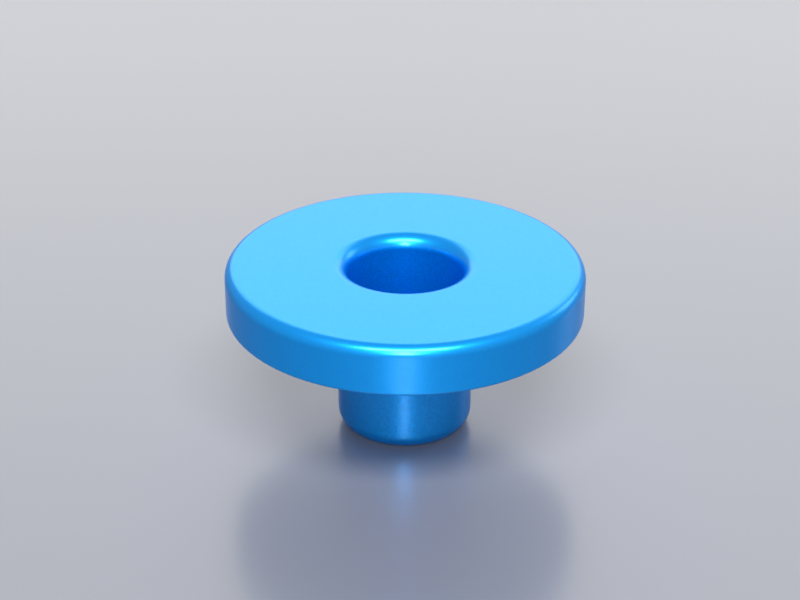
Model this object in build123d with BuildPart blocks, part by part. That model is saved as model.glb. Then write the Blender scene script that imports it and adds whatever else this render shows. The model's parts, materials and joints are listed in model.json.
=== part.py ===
# Flanged bush: a thick round flange over a thin-walled sleeve with a closed end,
# turned in one piece from aluminium bar. It stands on the sleeve's end face.
# The origin is the centre of that end face, and +Z runs up the axis of the turning.
# All sizes are in millimetres.

import os

from build123d import *

# Flange
flange_diameter = 50.0
flange_thickness = 7.0
rim_radius = 1.5            # round on the flange's top edge
lower_edge_radius = 0.5     # edge break on the flange's lower edge

# Bore, blind, opening in the flange's top face
bore_diameter = 16.25
mouth_radius = 2.0          # round where the bore opens
floor_corner_radius = 1.0   # round between the bore's wall and its floor

# Sleeve
sleeve_wall = 1.375
sleeve_length = 18.0        # from the flange's underside to the end face
end_thickness = 2.0         # metal between the bore's floor and the end face
end_radius = 2.5            # round on the sleeve's outer end
shoulder_radius = 0.4       # left by the tool's nose where sleeve and flange meet

# Worked out from the sizes above
flange_r = flange_diameter / 2
bore_r = bore_diameter / 2
sleeve_r = bore_r + sleeve_wall
overall_length = sleeve_length + flange_thickness
bore_depth = overall_length - end_thickness


with BuildPart() as flanged_bush:
    # The blank: half of its outline, spun round the axis
    with BuildSketch(Plane.XZ):
        with BuildLine():
            Polyline(
                (0, 0),
                (sleeve_r, 0),
                (sleeve_r, sleeve_length),
                (flange_r, sleeve_length),
                (flange_r, overall_length),
                (0, overall_length),
                close=True,
            )
        make_face()
    revolve(axis=Axis.Z)

    # The blind bore, cut down from the top face
    with Locations((0, 0, overall_length)):
        Hole(radius=bore_r, depth=bore_depth)

    # Each round is made on a circle of one of the flat faces, which are,
    # from the bottom up: end face, bore floor, flange underside and top face
    end_face = flanged_bush.faces().filter_by(Axis.Z).sort_by(Axis.Z)[0]
    fillet(end_face.outer_wire().edges(), end_radius)

    bore_floor = flanged_bush.faces().filter_by(Axis.Z).sort_by(Axis.Z)[1]
    fillet(bore_floor.outer_wire().edges(), floor_corner_radius)

    underside = flanged_bush.faces().filter_by(Axis.Z).sort_by(Axis.Z)[2]
    fillet(underside.outer_wire().edges(), lower_edge_radius)

    underside = flanged_bush.faces().filter_by(Axis.Z).sort_by(Axis.Z)[2]
    fillet(underside.inner_wires().edges(), shoulder_radius)

    top_face = flanged_bush.faces().filter_by(Axis.Z).sort_by(Axis.Z)[-1]
    fillet(top_face.outer_wire().edges(), rim_radius)

    top_face = flanged_bush.faces().filter_by(Axis.Z).sort_by(Axis.Z)[-1]
    fillet(top_face.inner_wires().edges(), mouth_radius)

flanged_bush.part.label = "flanged_bush"

os.makedirs("parts", exist_ok=True)
export_step(flanged_bush.part, "parts/flanged_bush.step")
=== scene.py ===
# %% [markdown]
# # A flanged bush, bead-blasted and anodised blue
#
# The object is one turned piece of aluminium: a thick round flange over a thin-walled
# sleeve, with a blind bore that opens in the flange's top face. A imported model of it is
# loaded first. It holds the part's sizes and never moves, and everything below is built
# round it, in metres, with +Z up along the axis of the turning.

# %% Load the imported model
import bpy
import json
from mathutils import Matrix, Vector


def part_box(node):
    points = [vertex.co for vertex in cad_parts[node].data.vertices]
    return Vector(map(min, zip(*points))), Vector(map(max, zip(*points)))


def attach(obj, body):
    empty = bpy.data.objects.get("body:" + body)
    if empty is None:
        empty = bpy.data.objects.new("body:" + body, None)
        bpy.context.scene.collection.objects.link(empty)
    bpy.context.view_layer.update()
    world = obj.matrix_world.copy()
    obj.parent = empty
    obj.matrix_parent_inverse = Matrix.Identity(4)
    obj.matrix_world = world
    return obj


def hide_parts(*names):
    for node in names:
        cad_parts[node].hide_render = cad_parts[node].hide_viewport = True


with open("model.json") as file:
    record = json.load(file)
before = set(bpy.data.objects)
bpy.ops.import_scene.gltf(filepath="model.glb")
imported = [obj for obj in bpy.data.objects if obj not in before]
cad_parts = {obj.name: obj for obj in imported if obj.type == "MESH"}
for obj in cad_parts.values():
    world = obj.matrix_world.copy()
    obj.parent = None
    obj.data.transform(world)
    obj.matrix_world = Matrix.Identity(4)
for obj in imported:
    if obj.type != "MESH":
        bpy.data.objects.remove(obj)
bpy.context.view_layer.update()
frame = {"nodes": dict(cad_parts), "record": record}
print("packed pieces:", sorted(frame["nodes"]))

# %% [markdown]
# Blender works in metres, while a turner's drawing is in millimetres. One constant turns
# the one into the other, so that every size below can be read as it would be on the
# drawing. The libraries that the later cells need are loaded here too.

# %% Units and libraries
import json
import math

import bpy
from mathutils import Matrix, Vector

MM = 0.001
print("one millimetre is", MM, "of a Blender unit")

# %% [markdown]
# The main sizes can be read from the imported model: the flange's radius and the overall
# height from its box, and the rest from its mounts, which are the faces that other parts
# fit. Reading them keeps the looks on the true sizes.

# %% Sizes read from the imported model
NODE = "flanged_bush"
lowest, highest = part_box(NODE)
mounts = {mount["name"]: mount for mount in frame["record"]["mounts"]}

flange_radius = max(highest.x, highest.y, -lowest.x, -lowest.y)
top_height = highest.z
bore_radius = mounts["bore"]["dims"]["r_mm"] * MM
sleeve_radius = mounts["sleeve"]["dims"]["r_mm"] * MM
underside_height = mounts["flange_underside"]["pos_m"][2]
flange_thickness = top_height - underside_height
print(f"flange {2 * flange_radius / MM:.1f} mm across, {flange_thickness / MM:.1f} mm thick")
print(f"bore {2 * bore_radius / MM:.2f} mm, sleeve {2 * sleeve_radius / MM:.1f} mm across")

# %% [markdown]
# The rounds can't be read from a box, so they are written here. A turner calls them edge
# breaks when they only take off a sharp corner, and radii when they are part of the shape.

# %% Sizes of the rounds and of the bore's floor
RIM_ROUND = 1.5 * MM
LOWER_EDGE_ROUND = 0.5 * MM
MOUTH_ROUND = 2.0 * MM
SHOULDER_ROUND = 0.4 * MM
END_ROUND = 2.5 * MM
FLOOR_ROUND = 1.0 * MM
FLOOR_HEIGHT = 2.0 * MM
print(f"sharpest edge rounded by {SHOULDER_ROUND / MM:.1f} mm, softest by {END_ROUND / MM:.1f} mm")

# %% [markdown]
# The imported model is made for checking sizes, so its round faces are cut into coarse
# flats that would show along the rim. The bush is therefore spun again, finely.
#
# A turned part follows one rule: half of its section, spun round the axis. That is what a
# lathe does, and Geometry Nodes can do the same. Both that tree and the material's are
# long chains of nodes, so one small helper adds a node, sets it and links it.

# %% Helper that adds a node
def add_node(tree, kind, inputs=None, **settings):
    """Adds a node, sets its properties, and gives inputs, by identifier, a link or a value."""
    node = tree.nodes.new(kind)
    for name, value in settings.items():
        setattr(node, name, value)
    sockets = {socket.identifier: socket for socket in node.inputs}
    for name, value in (inputs or {}).items():
        if isinstance(value, bpy.types.NodeSocket):
            tree.links.new(value, sockets[name])
        else:
            sockets[name].default_value = value
    return node


print("helper ready:", add_node.__name__)

# %% [markdown]
# The half section is a line of corners. Each one names the sizes that give its radius, its
# height and its round, and None stands for zero. The line runs from the middle of the
# bore's floor, up the bore, over the flange and down the sleeve to the middle of the end.

# %% Corners of the half section
CORNERS = (
    (None, "Floor height", None),
    ("Bore radius", "Floor height", "Floor round"),
    ("Bore radius", "Top height", "Mouth round"),
    ("Flange radius", "Top height", "Rim round"),
    ("Flange radius", "Underside height", "Lower edge round"),
    ("Sleeve radius", "Underside height", "Shoulder round"),
    ("Sleeve radius", None, "End round"),
    (None, None, None),
)
print("corners in the half section:", len(CORNERS))

# %% [markdown]
# The tree lays out the corners, rounds each by its own radius, and sweeps the result round
# a circle. The sizes stay inputs of the tree, so a change of one number turns a new part.
# Both ends of the line lie on the axis, where the sweep leaves a ring of points in one
# place. Merging points that are closer than a thousandth of a millimetre closes them.

# %% The lathe, as a Geometry Nodes tree
POLE_MERGE = 0.001 * MM


def tree_inputs(tree, corners):
    """Gives the tree an input for each size that the corners name, and returns the inputs."""
    tree.interface.new_socket("Geometry", in_out="OUTPUT", socket_type="NodeSocketGeometry")
    for name in dict.fromkeys(name for corner in corners for name in corner if name):
        tree.interface.new_socket(name, in_out="INPUT", socket_type="NodeSocketFloat")
    for name in ("Steps in a round", "Steps in a turn"):
        tree.interface.new_socket(name, in_out="INPUT", socket_type="NodeSocketInt")
    tree.interface.new_socket("Material", in_out="INPUT", socket_type="NodeSocketMaterial")
    return add_node(tree, "NodeGroupInput").outputs


def corner_switches(tree, corners, sizes):
    """Two switches that give each point of a line, by its number, its place and its round."""
    number = add_node(tree, "GeometryNodeInputIndex").outputs[0]
    place = add_node(tree, "GeometryNodeIndexSwitch", {"Index": number}, data_type="VECTOR")
    rounding = add_node(tree, "GeometryNodeIndexSwitch", {"Index": number}, data_type="FLOAT")
    for switch in (place, rounding):
        while len(switch.index_switch_items) < len(corners):
            switch.index_switch_items.new()

    # The sweep counts radii from its circle, which has the flange's radius, and counts
    # heights downwards, so every corner is given that way
    for item, (radius, height, edge) in enumerate(corners):
        out = add_node(tree, "ShaderNodeMath",
                       {"Value": sizes[radius] if radius else 0.0,
                        "Value_001": sizes["Flange radius"]},
                       operation="SUBTRACT")
        down = add_node(tree, "ShaderNodeMath",
                        {"Value": 0.0, "Value_001": sizes[height] if height else 0.0},
                        operation="SUBTRACT")
        point = add_node(tree, "ShaderNodeCombineXYZ", {"X": out.outputs[0], "Y": down.outputs[0]})
        tree.links.new(point.outputs[0], place.inputs[str(item)])
        if edge:
            tree.links.new(sizes[edge], rounding.inputs[str(item)])
    return place.outputs[0], rounding.outputs[0]


def lathe_tree(corners):
    """Builds the tree that spins a half section, given as corners, round the Z axis."""
    tree = bpy.data.node_groups.new("lathe", "GeometryNodeTree")
    sizes = tree_inputs(tree, corners)
    place, rounding = corner_switches(tree, corners, sizes)

    line = add_node(tree, "GeometryNodeMeshLine", {"Count": len(corners)})
    curve = add_node(tree, "GeometryNodeMeshToCurve", {"Mesh": line.outputs[0]})
    section = add_node(tree, "GeometryNodeSetPosition",
                       {"Geometry": curve.outputs[0], "Position": place})
    rounded = add_node(tree, "GeometryNodeFilletCurve",
                       {"Curve": section.outputs[0], "Count": sizes["Steps in a round"],
                        "Radius": rounding}, mode="POLY")

    circle = add_node(tree, "GeometryNodeCurvePrimitiveCircle",
                      {"Resolution": sizes["Steps in a turn"], "Radius": sizes["Flange radius"]})
    path = add_node(tree, "GeometryNodeSetCurveNormal", {"Curve": circle.outputs[0]}, mode="Z_UP")
    spun = add_node(tree, "GeometryNodeCurveToMesh",
                    {"Curve": path.outputs[0], "Profile Curve": rounded.outputs[0]})
    closed = add_node(tree, "GeometryNodeMergeByDistance",
                      {"Geometry": spun.outputs[0], "Distance": POLE_MERGE})
    smooth = add_node(tree, "GeometryNodeSetShadeSmooth", {"Geometry": closed.outputs[0]})

    real = add_node(tree, "GeometryNodeRealizeInstances", {"Geometry": smooth.outputs[0]})
    dressed = add_node(tree, "GeometryNodeSetMaterial",
                       {"Geometry": real.outputs[0], "Material": sizes["Material"]})
    add_node(tree, "NodeGroupOutput", {"Socket_0": dressed.outputs[0]})
    return tree


lathe = lathe_tree(CORNERS)
print("lathe tree:", len(lathe.nodes), "nodes")

# %% [markdown]
# The metal is aluminium that was blasted with fine glass beads, then anodised and dyed.
# A dye is named by the colour that it gives to white light, as an sRGB hex code. Shaders
# add up light, so they need linear values, and one function turns the codes into those.
#
# Three shades are enough: the dye where it lies thin on the crest of a dimple, the deeper
# shade where it gathers in the bottom, and the paler one that a metal shows at a glance.

# %% Colours of the dye
def linear(hex_colour):
    """Turns an sRGB hex colour, such as 3A7BD5, to the linear RGBA that shaders take."""
    channels = [int(hex_colour[i:i + 2], 16) / 255 for i in (0, 2, 4)]
    return tuple(c / 12.92 if c <= 0.04045 else ((c + 0.055) / 1.055) ** 2.4 for c in channels) + (1.0,)


DYE_BLUE = "00A4FF"
DYE_BLUE_DEEP = "0092EA"
DYE_BLUE_GLANCING = "E4F0FF"
print("dye in linear light:", [round(c, 3) for c in linear(DYE_BLUE)])

# %% [markdown]
# Blasting leaves shallow dimples about a tenth of a millimetre across, which spread every
# reflection into a satin glow. Anodising then grows a hard, clear layer of aluminium oxide
# over them, and the dye sits in its pores. So three things reach the eye:
#
# - the metal's own reflection, coloured blue on its way in and out through the dye, which
#   gives broad soft highlights,
# - some light that the dimples and pores scatter every way, which keeps the bore and the
#   shaded sides blue and not black. It is why the shader is only partly metallic,
# - the oxide's thin gloss on top, which stays white. The coat gives it, with the oxide's
#   index of 1.77, and the shader's own second gloss is switched off.
#
# The grain is drawn stronger in the bore and on the sleeve than on the flange. The beads
# probably struck there at a slant and left the surface rougher.

# %% Bead-blasted, blue anodised aluminium
BEAD_DIMPLE = 0.30 * MM        # really about 0.1 mm, which is too fine to show, so coarser
DIMPLE_DEPTH = 0.025 * MM
DIMPLE_SIZES = 2.0             # finer dimples on top of the main ones
DIMPLE_SIZE_FALL = 0.6         # how strong each finer layer is against the one before
CREST, BOTTOM = 0.35, 0.65     # the noise's values at a dimple's crest and at its bottom
SATIN = (0.33, 0.41)           # roughness from the smoothest dimple to the roughest
FLANGE_GRAIN = 0.30            # the flange's grain as a share of the bore's and sleeve's
GRAIN_CHANGE = 1.0 * MM        # width of the band where one grain passes into the other
METAL_SHARE = 0.72             # chosen: the rest is light that dimples and pores scatter
OXIDE_GLOSS = 0.32             # chosen: blasting leaves only part of a clear coat's gloss
OXIDE_ROUGHNESS = 0.2
OXIDE_IOR = 1.77


def anodised_aluminium():
    """Bead-blasted aluminium under a dyed oxide layer."""
    material = bpy.data.materials.new("bead_blasted_blue_anodised_aluminium")
    material.use_nodes = True
    tree = material.node_tree
    tree.nodes.clear()
    place = add_node(tree, "ShaderNodeTexCoord").outputs["Object"]
    dimples = add_node(tree, "ShaderNodeTexNoise",
                       {"Vector": place, "Scale": 1 / BEAD_DIMPLE, "Detail": DIMPLE_SIZES,
                        "Roughness": DIMPLE_SIZE_FALL})
    depth = add_node(tree, "ShaderNodeMapRange",
                     {"Value": dimples.outputs["Fac"], "From Min": CREST, "From Max": BOTTOM})

    # The bore's wall and the sleeve lie within the sleeve's radius and below the mouth's round
    outwards = add_node(tree, "ShaderNodeVectorMath",
                        {"Vector": place, "Vector_001": (1.0, 1.0, 0.0)}, operation="MULTIPLY")
    radius = add_node(tree, "ShaderNodeVectorMath", {"Vector": outwards.outputs["Vector"]},
                      operation="LENGTH")
    height = add_node(tree, "ShaderNodeSeparateXYZ", {"Vector": place})
    past_sleeve = add_node(tree, "ShaderNodeMath",
                           {"Value": radius.outputs["Value"], "Value_001": sleeve_radius},
                           operation="SUBTRACT")
    past_bore = add_node(tree, "ShaderNodeMath",
                         {"Value": height.outputs["Z"], "Value_001": top_height - MOUTH_ROUND},
                         operation="SUBTRACT")
    past = add_node(tree, "ShaderNodeMath",
                    {"Value": past_sleeve.outputs[0], "Value_001": past_bore.outputs[0]},
                    operation="MAXIMUM")
    coarseness = add_node(tree, "ShaderNodeMapRange",
                          {"Value": past.outputs[0], "From Max": GRAIN_CHANGE,
                           "To Min": 1.0, "To Max": FLANGE_GRAIN})
    grain = add_node(tree, "ShaderNodeMath",
                     {"Value": depth.outputs[0], "Value_001": coarseness.outputs[0]},
                     operation="MULTIPLY")

    colour = add_node(tree, "ShaderNodeMix",
                      {"Factor_Float": grain.outputs[0],
                       "A_Color": linear(DYE_BLUE), "B_Color": linear(DYE_BLUE_DEEP)},
                      data_type="RGBA")
    satin = add_node(tree, "ShaderNodeMapRange",
                     {"Value": dimples.outputs["Fac"], "To Min": SATIN[0], "To Max": SATIN[1]})
    bump = add_node(tree, "ShaderNodeBump",
                    {"Height": dimples.outputs["Fac"], "Distance": DIMPLE_DEPTH,
                     "Strength": coarseness.outputs[0]})
    metal = add_node(tree, "ShaderNodeBsdfPrincipled",
                     {"Base Color": colour.outputs[2], "Metallic": METAL_SHARE,
                      "Roughness": satin.outputs[0], "Normal": bump.outputs[0],
                      "Specular Tint": linear(DYE_BLUE_GLANCING), "Specular IOR Level": 0.0,
                      "Coat Weight": OXIDE_GLOSS, "Coat Roughness": OXIDE_ROUGHNESS,
                      "Coat IOR": OXIDE_IOR})
    add_node(tree, "ShaderNodeOutputMaterial", {"Surface": metal.outputs[0]})
    return material


anodised = anodised_aluminium()
print("finish:", anodised.name)

# %% [markdown]
# Now the tree can turn the part. A modifier holds it, with each size given by its socket.
# The result is then taken as a plain mesh. Its flat faces meet its rounds without a
# crease, so the shading has to know that a flat face is flat right up to its edge. The
# Weighted Normal modifier does that: it lets the larger face set the direction.

# %% Sizes for the lathe
STEPS_IN_A_ROUND = 14
STEPS_IN_A_TURN = 288

SIZES = {
    "Bore radius": bore_radius,
    "Sleeve radius": sleeve_radius,
    "Flange radius": flange_radius,
    "Floor height": FLOOR_HEIGHT,
    "Underside height": underside_height,
    "Top height": top_height,
    "Floor round": FLOOR_ROUND,
    "Mouth round": MOUTH_ROUND,
    "Rim round": RIM_ROUND,
    "Lower edge round": LOWER_EDGE_ROUND,
    "Shoulder round": SHOULDER_ROUND,
    "End round": END_ROUND,
    "Steps in a round": STEPS_IN_A_ROUND,
    "Steps in a turn": STEPS_IN_A_TURN,
    "Material": anodised,
}
print("inputs for the lathe:", len(SIZES))


# %% Turn the bush
def evaluated_mesh(piece):
    """The mesh that a piece has once its modifiers have run."""
    graph = bpy.context.evaluated_depsgraph_get()
    return bpy.data.meshes.new_from_object(piece.evaluated_get(graph), depsgraph=graph)


def turned(name, tree, sizes):
    """Runs the lathe tree with these sizes and leaves a plain mesh object."""
    piece = bpy.data.objects.new(name, bpy.data.meshes.new(name))
    bpy.context.scene.collection.objects.link(piece)
    spin = piece.modifiers.new("spin", "NODES")
    spin.node_group = tree
    for socket in tree.interface.items_tree:
        if socket.in_out == "INPUT":
            spin[socket.identifier] = sizes[socket.name]
    weighted = piece.modifiers.new("flat faces keep their normals", "WEIGHTED_NORMAL")
    weighted.mode = "FACE_AREA"
    weighted.keep_sharp = False
    piece.data = evaluated_mesh(piece)
    piece.modifiers.clear()
    piece.data.name = name
    return piece


bush = turned("turned_bush", lathe, SIZES)
print("turned bush:", len(bush.data.polygons), "faces, size in mm",
      [round(length / MM, 2) for length in bush.dimensions])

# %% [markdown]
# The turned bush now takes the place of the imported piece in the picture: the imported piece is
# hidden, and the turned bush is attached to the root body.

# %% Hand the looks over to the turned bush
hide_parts(NODE)
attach(bush, "root")
print("the turned bush stands for", NODE)

# %% [markdown]
# The stage is a wide table top, lacquered in a plain pale grey. Its lacquer is a clear
# coat over paint, satin rather than polished, so the bush stands on a soft blue image of
# itself, and a lamp's image in the table lights the bush's upright sides from below.

# %% Floor
PAINT_GREY = "848792"
PAINT_ROUGHNESS = 0.5
LACQUER_ROUGHNESS = 0.22
LACQUER_IOR = 1.6
FLOOR_HALF_WIDTH = 1500 * MM


def lacquered_table():
    """Pale grey paint under a satin lacquer."""
    material = bpy.data.materials.new("pale_lacquered_table")
    material.use_nodes = True
    tree = material.node_tree
    tree.nodes.clear()
    surface = add_node(tree, "ShaderNodeBsdfPrincipled",
                       {"Base Color": linear(PAINT_GREY), "Roughness": PAINT_ROUGHNESS,
                        "Coat Weight": 1.0, "Coat Roughness": LACQUER_ROUGHNESS,
                        "Coat IOR": LACQUER_IOR})
    add_node(tree, "ShaderNodeOutputMaterial", {"Surface": surface.outputs[0]})
    return material


def square(name, half_width):
    """A flat square at height zero, facing up."""
    mesh = bpy.data.meshes.new(name)
    corners = [(x * half_width, y * half_width, 0.0) for x, y in ((-1, -1), (1, -1), (1, 1), (-1, 1))]
    mesh.from_pydata(corners, [], [(0, 1, 2, 3)])
    plane = bpy.data.objects.new(name, mesh)
    bpy.context.scene.collection.objects.link(plane)
    return plane


floor = square("floor", FLOOR_HALF_WIDTH)
floor.data.materials.append(lacquered_table())
print(f"floor laid, {2 * FLOOR_HALF_WIDTH:.0f} m square")

# %% [markdown]
# A room gives two things: a pale backdrop that is seen, behind the bush and in its gloss,
# and a weak light from all round. The Light Path node tells them apart. Rays that come
# from the camera, or from a reflection or refraction, find the backdrop, and all others
# find the weak light, so the lamps alone decide how bright the bush is.

# %% Surrounding light
BACKDROP = "F0F2F6"
BACKDROP_STRENGTH = 0.55
AMBIENT_STRENGTH = 0.03


def surround(hex_colour, seen_strength, lighting_strength):
    """A world that is seen at one strength and lights the scene at another."""
    world = bpy.data.worlds.new("surround")
    world.use_nodes = True
    tree = world.node_tree
    tree.nodes.clear()
    ray = add_node(tree, "ShaderNodeLightPath").outputs
    direct = add_node(tree, "ShaderNodeMath",
                      {"Value": ray["Is Camera Ray"], "Value_001": ray["Is Glossy Ray"]},
                      operation="MAXIMUM")
    seen = add_node(tree, "ShaderNodeMath",
                    {"Value": direct.outputs[0], "Value_001": ray["Is Transmission Ray"]},
                    operation="MAXIMUM")
    strength = add_node(tree, "ShaderNodeMapRange",
                        {"Value": seen.outputs[0], "To Min": lighting_strength,
                         "To Max": seen_strength})
    light = add_node(tree, "ShaderNodeBackground",
                     {"Color": linear(hex_colour), "Strength": strength.outputs[0]})
    add_node(tree, "ShaderNodeOutputWorld", {"Surface": light.outputs[0]})
    return world


bpy.context.scene.world = surround(BACKDROP, BACKDROP_STRENGTH, AMBIENT_STRENGTH)
print("backdrop", BACKDROP_STRENGTH, "ambient", AMBIENT_STRENGTH)

# %% [markdown]
# The lamps are softboxes, which are bright rectangles. A curved metal face shows each one
# as a highlight, as wide and as tall as the softbox looks from there, so their places and
# shapes draw the picture:
#
# - the key hangs high in front and wide, and draws the long highlight on the rim,
# - the low one stands upright and narrow below it. With the key it fills the round at the
#   bore's mouth, and it draws the upright streak on the flange's side and on the sleeve,
# - the back one is large and dim, and its even image is the sheen of the flat top face,
# - the side one lifts the right-hand end, so that the two ends don't look the same.
#
# Each is described by its direction from the bush, in degrees, and by its brightness. Its
# power follows from its brightness and its area.

# %% Softboxes
def direction(azimuth, elevation):
    """Unit vector to a place seen from the part: azimuth 0 is the camera's side."""
    a, e = math.radians(azimuth), math.radians(elevation)
    return Vector((math.sin(a) * math.cos(e), -math.cos(a) * math.cos(e), math.sin(e)))


def softbox(name, azimuth, elevation, distance, width, height, brightness, target):
    """A rectangular lamp of a given brightness that faces the target."""
    lamp = bpy.data.lights.new(name, "AREA")
    lamp.shape = "RECTANGLE"
    lamp.size = width
    lamp.size_y = height
    lamp.energy = brightness * width * height * math.pi
    holder = bpy.data.objects.new(name, lamp)
    towards = direction(azimuth, elevation)
    holder.matrix_world = (Matrix.Translation(target + distance * towards)
                           @ towards.to_track_quat("Z", "Y").to_matrix().to_4x4())
    bpy.context.scene.collection.objects.link(holder)
    return holder


# Name, azimuth, elevation, distance, width, height and brightness
SOFTBOXES = (
    ("key", 2, 58, 600 * MM, 420 * MM, 160 * MM, 16.0),
    ("low", 0, 29, 600 * MM, 110 * MM, 280 * MM, 17.5),
    ("back", 178, 28, 900 * MM, 1000 * MM, 600 * MM, 1.52),
    ("side", 122, 24, 600 * MM, 200 * MM, 240 * MM, 2.2),
)
middle = Vector((0, 0, top_height / 2))
lamps = [softbox(*settings, middle) for settings in SOFTBOXES]
print("softboxes:", {lamp.name: round(lamp.data.energy, 2) for lamp in lamps}, "watts")

# %% [markdown]
# The camera stands in front of the bush and looks down on it at about 27 degrees, from a
# quarter of a metre away, with a long lens.

# %% Camera
CAMERA_PLACE = Vector((0, -224.1, 134.1)) * MM
CAMERA_AIM = Vector((-0.71, 0, 19.1)) * MM
CAMERA_ROLL = math.radians(0.21)
LENS = 81.0
CLIP_START = 10 * MM

camera_data = bpy.data.cameras.new("camera")
camera_data.lens = LENS
camera_data.clip_start = CLIP_START
camera = bpy.data.objects.new("camera", camera_data)
bpy.context.scene.collection.objects.link(camera)
look = CAMERA_AIM - CAMERA_PLACE
camera.matrix_world = (Matrix.Translation(CAMERA_PLACE)
                       @ look.to_track_quat("-Z", "Y").to_matrix().to_4x4()
                       @ Matrix.Rotation(CAMERA_ROLL, 4, "Z"))
bpy.context.scene.camera = camera
bpy.context.scene.view_settings.view_transform = "Standard"
print(f"camera {look.length / MM:.0f} mm away, looking down at",
      f"{math.degrees(math.asin(-look.z / look.length)):.1f} degrees")

# %% [markdown]
# Last, a closing line is printed. The looks are turned from the imported model's sizes, so their boxes
# should agree to a hundredth of a millimetre or so.

# %% Finish
print("scene built round the packed model")
